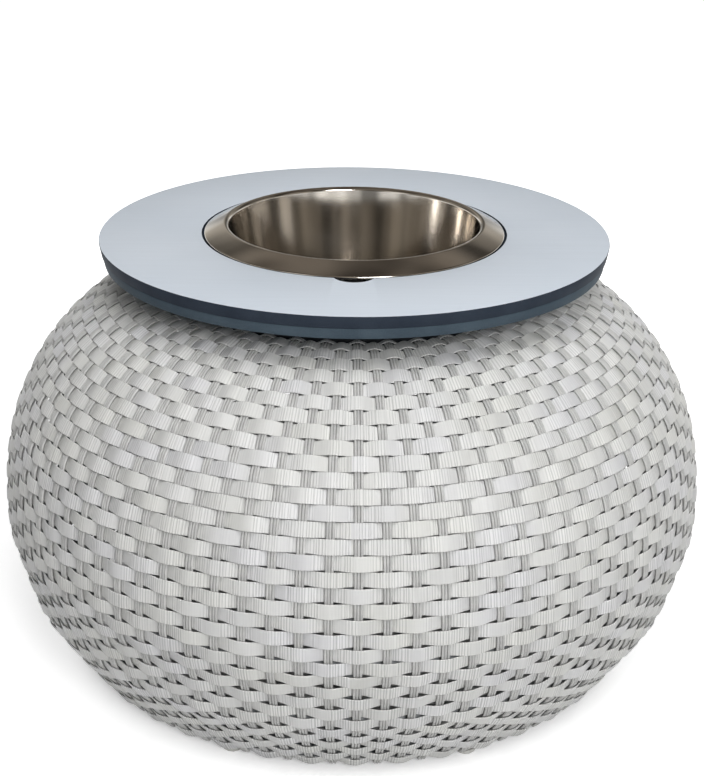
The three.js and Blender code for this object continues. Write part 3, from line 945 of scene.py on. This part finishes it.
def bowl_path():
    """Middle of the sheet: floor, wall, lip, sloping brim and the curled edge."""
    lip = np.array([LIP_RADIUS, REBATE_FLOOR + LIP_RISE])
    floor = lip[1] - BOWL_DEPTH
    outer = CURL_RADIUS + SHEET / 2
    curl = np.array([BRIM_RADIUS - outer, REBATE_FLOOR + SEAT_GAP + outer])
    away = curl - lip
    reach = np.linalg.norm(away)
    heading = math.atan2(away[1], away[0]) + math.asin(CURL_RADIUS / reach)
    run = math.sqrt(reach ** 2 - CURL_RADIUS ** 2)
    start = lip + run * np.array([math.cos(heading), math.sin(heading)])
    path = rounded_path([
        (FLOOR_DISC_RADIUS, floor, 0),
        (LIP_RADIUS - WALL_TAPER, floor, FLOOR_BEND),
        (*lip, LIP_BEND),
        (*start, 0),
    ])
    first = heading + math.pi / 2
    hook = arc_points(curl, CURL_RADIUS, first, -math.radians(CURL_SWEEP), CURL_STEPS)
    return np.concatenate([path, hook[1:]])


def make_bowl():
    path = bowl_path()
    normal = outward_normals(path)
    inner = path - normal * SHEET / 2
    outer = path + normal * SHEET / 2
    section = np.concatenate([inner, outer[::-1]])
    count = len(section)
    points = swept(section, BOWL_SEGMENTS)
    quads = grid_quads(BOWL_SEGMENTS, count, True, False)
    # a disc of triangles closes each side of the floor round the axis
    middles = np.array([[0, 0, section[0, 1]], [0, 0, section[-1, 1]]])
    first = len(points)
    i = np.arange(BOWL_SEGMENTS)
    j = (i + 1) % BOWL_SEGMENTS
    top = np.stack([i * count, j * count, np.full_like(i, first)], -1)
    bottom = np.stack([(j + 1) * count - 1, (i + 1) * count - 1, np.full_like(i, first + 1)], -1)
    points = np.concatenate([points, middles])
    corner, beside, across = points[quads[0, :3]]
    if np.cross(beside - corner, across - corner)[2] < 0:
        quads = quads[:, ::-1]
    faces = outward(points, [quads, top, bottom])
    mesh = build_mesh("steel_bowl", points, faces, BOWL_CREASE)
    add_piece("steel_bowl", mesh, [steel_material], "steel", BOWL, "ice_bowl")


# Frame and collar

FRAME_DEPTH = WEAVE_THICKNESS + SEAT_GAP + RING_TUBE_RADIUS
TOP_RING = ((COLLAR_OUTER + COLLAR_INNER) / 2, CROWN_HEIGHT - FRAME_DEPTH)


def base_ring():
    """Ring inside the lowest flank of the weave, as (r, z)."""
    flank = np.subtract(LOWER_CREASE, LOWER_EDGE)
    inward = np.array([-flank[1], flank[0]]) / np.linalg.norm(flank)
    foot = LOWER_EDGE + FRAME_DEPTH * inward
    return np.array([foot[0] + (BASE_RING_HEIGHT - foot[1]) * flank[0] / flank[1], BASE_RING_HEIGHT])


def ring_tube(r, z):
    angle = full_turn(TUBE_SIDES)
    radius = RING_TUBE_RADIUS - RING_TUBE_SLACK
    section = np.stack([r + radius * np.cos(angle), z + radius * np.sin(angle)], -1)
    return lathe(section, RING_SEGMENTS)


def inside_weave(s):
    """Where the frame's tubes run at run s, as (r, z) pairs."""
    point, normal = on_profile(s)
    return point - normal * (FRAME_DEPTH - MIDDLE_DEPTH)


def make_frame():
    """Four rings, and the ribs and struts between them."""
    run_lower = math.dist(LOWER_EDGE, LOWER_CREASE)
    run_widest = run_lower + math.dist(LOWER_CREASE, WIDEST)
    base = base_ring()
    lower, widest = inside_weave(np.array([run_lower, run_widest]))
    rings = {"base": base, "lower": lower, "widest": widest, "top": TOP_RING}
    points, faces = joined([ring_tube(r, z) for r, z in rings.values()])
    mesh = build_mesh("frame_rings", points, faces, TUBE_CREASE)
    names = [f"frame_{name}_ring" for name in rings]
    add_piece("frame_rings", mesh, [tube_material], "painted_tube", TABLE, *names)
    run_end = RUN[-1] - RIB_CROWN_MARGIN
    upper = inside_weave(np.linspace(run_widest, run_end, int((run_end - run_widest) / RIB_STEP)))
    lines = {
        "frame_lower_strut": np.array([base, lower]),
        "frame_mid_strut": np.array([lower, widest]),
        "frame_upper_rib": np.concatenate([upper[:-1], [TOP_RING]]),
    }
    parts, names = [], []
    for name, line in lines.items():
        for i in range(RIBS):
            path = turned(line[:, 0], line[:, 1], math.pi / 2 + 2 * math.pi * i / RIBS)
            parts.append(tube(path, RIB_TUBE_RADIUS, TUBE_SIDES))
            names.append(f"{name}_{i + 1}")
    points, faces = joined(parts)
    mesh = build_mesh("frame_ribs", points, faces, TUBE_CREASE)
    add_piece("frame_ribs", mesh, [tube_material], "painted_tube", TABLE, *names)


def make_collar():
    """Flat-bar hoop between the top ring and the backing ring."""
    bottom = TOP_RING[1] + RING_TUBE_RADIUS + SEAT_GAP
    top = BACKING_BOTTOM - SEAT_GAP
    points, faces = lathe(rounded_section([
        (COLLAR_INNER, bottom, COLLAR_EDGE),
        (COLLAR_OUTER, bottom, COLLAR_EDGE),
        (COLLAR_OUTER, top, COLLAR_EDGE),
        (COLLAR_INNER, top, COLLAR_EDGE),
    ]), TOP_SEGMENTS)
    mesh = build_mesh("collar", points, faces, COLLAR_CREASE)
    add_piece("collar", mesh, [collar_material], "painted_collar", TABLE, "top_collar")


make_panel()
make_backing()
make_bowl()
make_frame()
make_collar()

# Brackets, screws and glides show their solids
finishes = {"top_bracket": collar_material, "top_screw": screw_material, "glide": glide_material}
for name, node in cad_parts.items():
    for stem, material in finishes.items():
        if name.startswith(stem + "_"):
            for holder in node.material_slots:
                holder.material = material


# Camera

def make_camera():
    data = bpy.data.cameras.new("camera")
    data.sensor_width = SENSOR_WIDTH
    data.lens = FOCAL_PX * SENSOR_WIDTH / IMAGE_HEIGHT
    data.shift_x = (IMAGE_WIDTH / 2 - PRINCIPAL[0]) / IMAGE_HEIGHT
    data.shift_y = (PRINCIPAL[1] - IMAGE_HEIGHT / 2) / IMAGE_HEIGHT
    camera = bpy.data.objects.new("camera", data)
    bpy.context.scene.collection.objects.link(camera)
    level = Vector((1, 0, 0))
    ahead = Vector((0, math.cos(CAMERA_PITCH), -math.sin(CAMERA_PITCH)))
    above = level.cross(ahead)
    right = level * math.cos(CAMERA_ROLL) + above * math.sin(CAMERA_ROLL)
    up = above * math.cos(CAMERA_ROLL) - level * math.sin(CAMERA_ROLL)
    turn = Matrix((right, up, -ahead)).transposed().to_4x4()
    camera.matrix_world = Matrix.Translation(CAMERA_PLACE) @ turn
    bpy.context.scene.camera = camera


# Floor, world and lamps

def floor_material():
    n = Nodes("floor")
    n.set("Base Color", (FLOOR_GREY, FLOOR_GREY, FLOOR_GREY, 1))
    n.set("Roughness", 0.9)
    n.set("Specular IOR Level", 0.1)
    x, y, _ = n.split(n.place())
    distance = n.length(x, y)
    # painted glow for camera and glossy rays: none under the table, rising outward to white
    near = n.range(distance, *DARK_WITHIN, 0.0, NEAR_GLOW, True)
    far = n.range(distance, *WHITE_FROM, 0.0, 1.0, True)
    light = n.add("ShaderNodeLightPath")
    seen = n.math("MAXIMUM", light.outputs["Is Camera Ray"], light.outputs["Is Glossy Ray"])
    n.set("Emission Color", (1, 1, 1, 1))
    n.set("Emission Strength", n.times(seen, n.times_plus(far, FAR_GLOW, near)))
    return n.material


def make_floor():
    mesh = bpy.data.meshes.new("floor")
    half = FLOOR_HALF
    corners = [(-half, -half, 0), (half, -half, 0), (half, half, 0), (-half, half, 0)]
    mesh.from_pydata(corners, [], [(0, 1, 2, 3)])
    mesh.update()
    mesh.materials.append(floor_material())
    floor = bpy.data.objects.new("floor", mesh)
    bpy.context.scene.collection.objects.link(floor)


def add_mix(tree, factor, a, b, blend_type="MIX"):
    """Colour mix of two sockets or colours in a node tree."""
    node = tree.nodes.new("ShaderNodeMix")
    node.data_type = "RGBA"
    node.blend_type = blend_type
    for value, socket in ((factor, node.inputs[0]), (a, node.inputs[6]), (b, node.inputs[7])):
        if hasattr(value, "is_linked"):
            tree.links.new(value, socket)
        else:
            socket.default_value = value
    return node.outputs[2]


def mirrored_room(tree):
    """Colour that polished steel mirrors: pale at the horizon, dark above, uneven all over."""
    new, link = tree.nodes.new, tree.links.new
    place = new("ShaderNodeTexCoord").outputs["Generated"]
    split = new("ShaderNodeSeparateXYZ")
    link(place, split.inputs[0])
    ramp = new("ShaderNodeValToRGB")
    set_stops(ramp.color_ramp, MIRRORED)
    link(split.outputs["Z"], ramp.inputs[0])
    patches = new("ShaderNodeTexNoise")
    patches.inputs["Scale"].default_value = MIRRORED_PATCH_SCALE
    patches.inputs["Detail"].default_value = MIRRORED_PATCH_DETAIL
    link(place, patches.inputs["Vector"])
    spread = new("ShaderNodeMapRange")
    link(patches.outputs["Fac"], spread.inputs[0])
    for i, value in enumerate(MIRRORED_PATCH_RANGE):
        spread.inputs[i + 1].default_value = value
    return add_mix(tree, 1.0, ramp.outputs[0], spread.outputs[0], "MULTIPLY")


def make_world():
    """Plain white to the camera, the mirrored room to glossy rays, faint light to all others."""
    world = bpy.data.worlds.new("studio")
    bpy.context.scene.world = world
    world.use_nodes = True
    tree = world.node_tree
    tree.nodes.clear()
    new, link = tree.nodes.new, tree.links.new
    path = new("ShaderNodeLightPath")
    mirror = new("ShaderNodeMath")
    mirror.operation = "MAXIMUM"
    link(path.outputs["Is Glossy Ray"], mirror.inputs[0])
    link(path.outputs["Is Transmission Ray"], mirror.inputs[1])
    ambient = (AMBIENT, AMBIENT, AMBIENT * 1.01, 1)
    unseen = add_mix(tree, mirror.outputs[0], ambient, mirrored_room(tree))
    colour = add_mix(tree, path.outputs["Is Camera Ray"], unseen, (1, 1, 1, 1))
    background = new("ShaderNodeBackground")
    link(colour, background.inputs["Color"])
    output = new("ShaderNodeOutputWorld")
    link(background.outputs[0], output.inputs["Surface"])


def add_lamp(name, place, target_height, width, watts, mirrored):
    data = bpy.data.lights.new(name, "AREA")
    data.shape = "DISK"
    data.size = width
    data.energy = watts
    lamp = bpy.data.objects.new(name, data)
    bpy.context.scene.collection.objects.link(lamp)
    aim = Vector((0, 0, target_height)) - Vector(place)
    lamp.location = place
    lamp.rotation_euler = aim.to_track_quat("-Z", "Y").to_euler()
    lamp.visible_glossy = mirrored
    lamp.visible_camera = False


make_camera()
make_floor()
make_world()
for lamp in LAMPS:
    add_lamp(*lamp)

bpy.context.scene.view_settings.view_transform = "Standard"
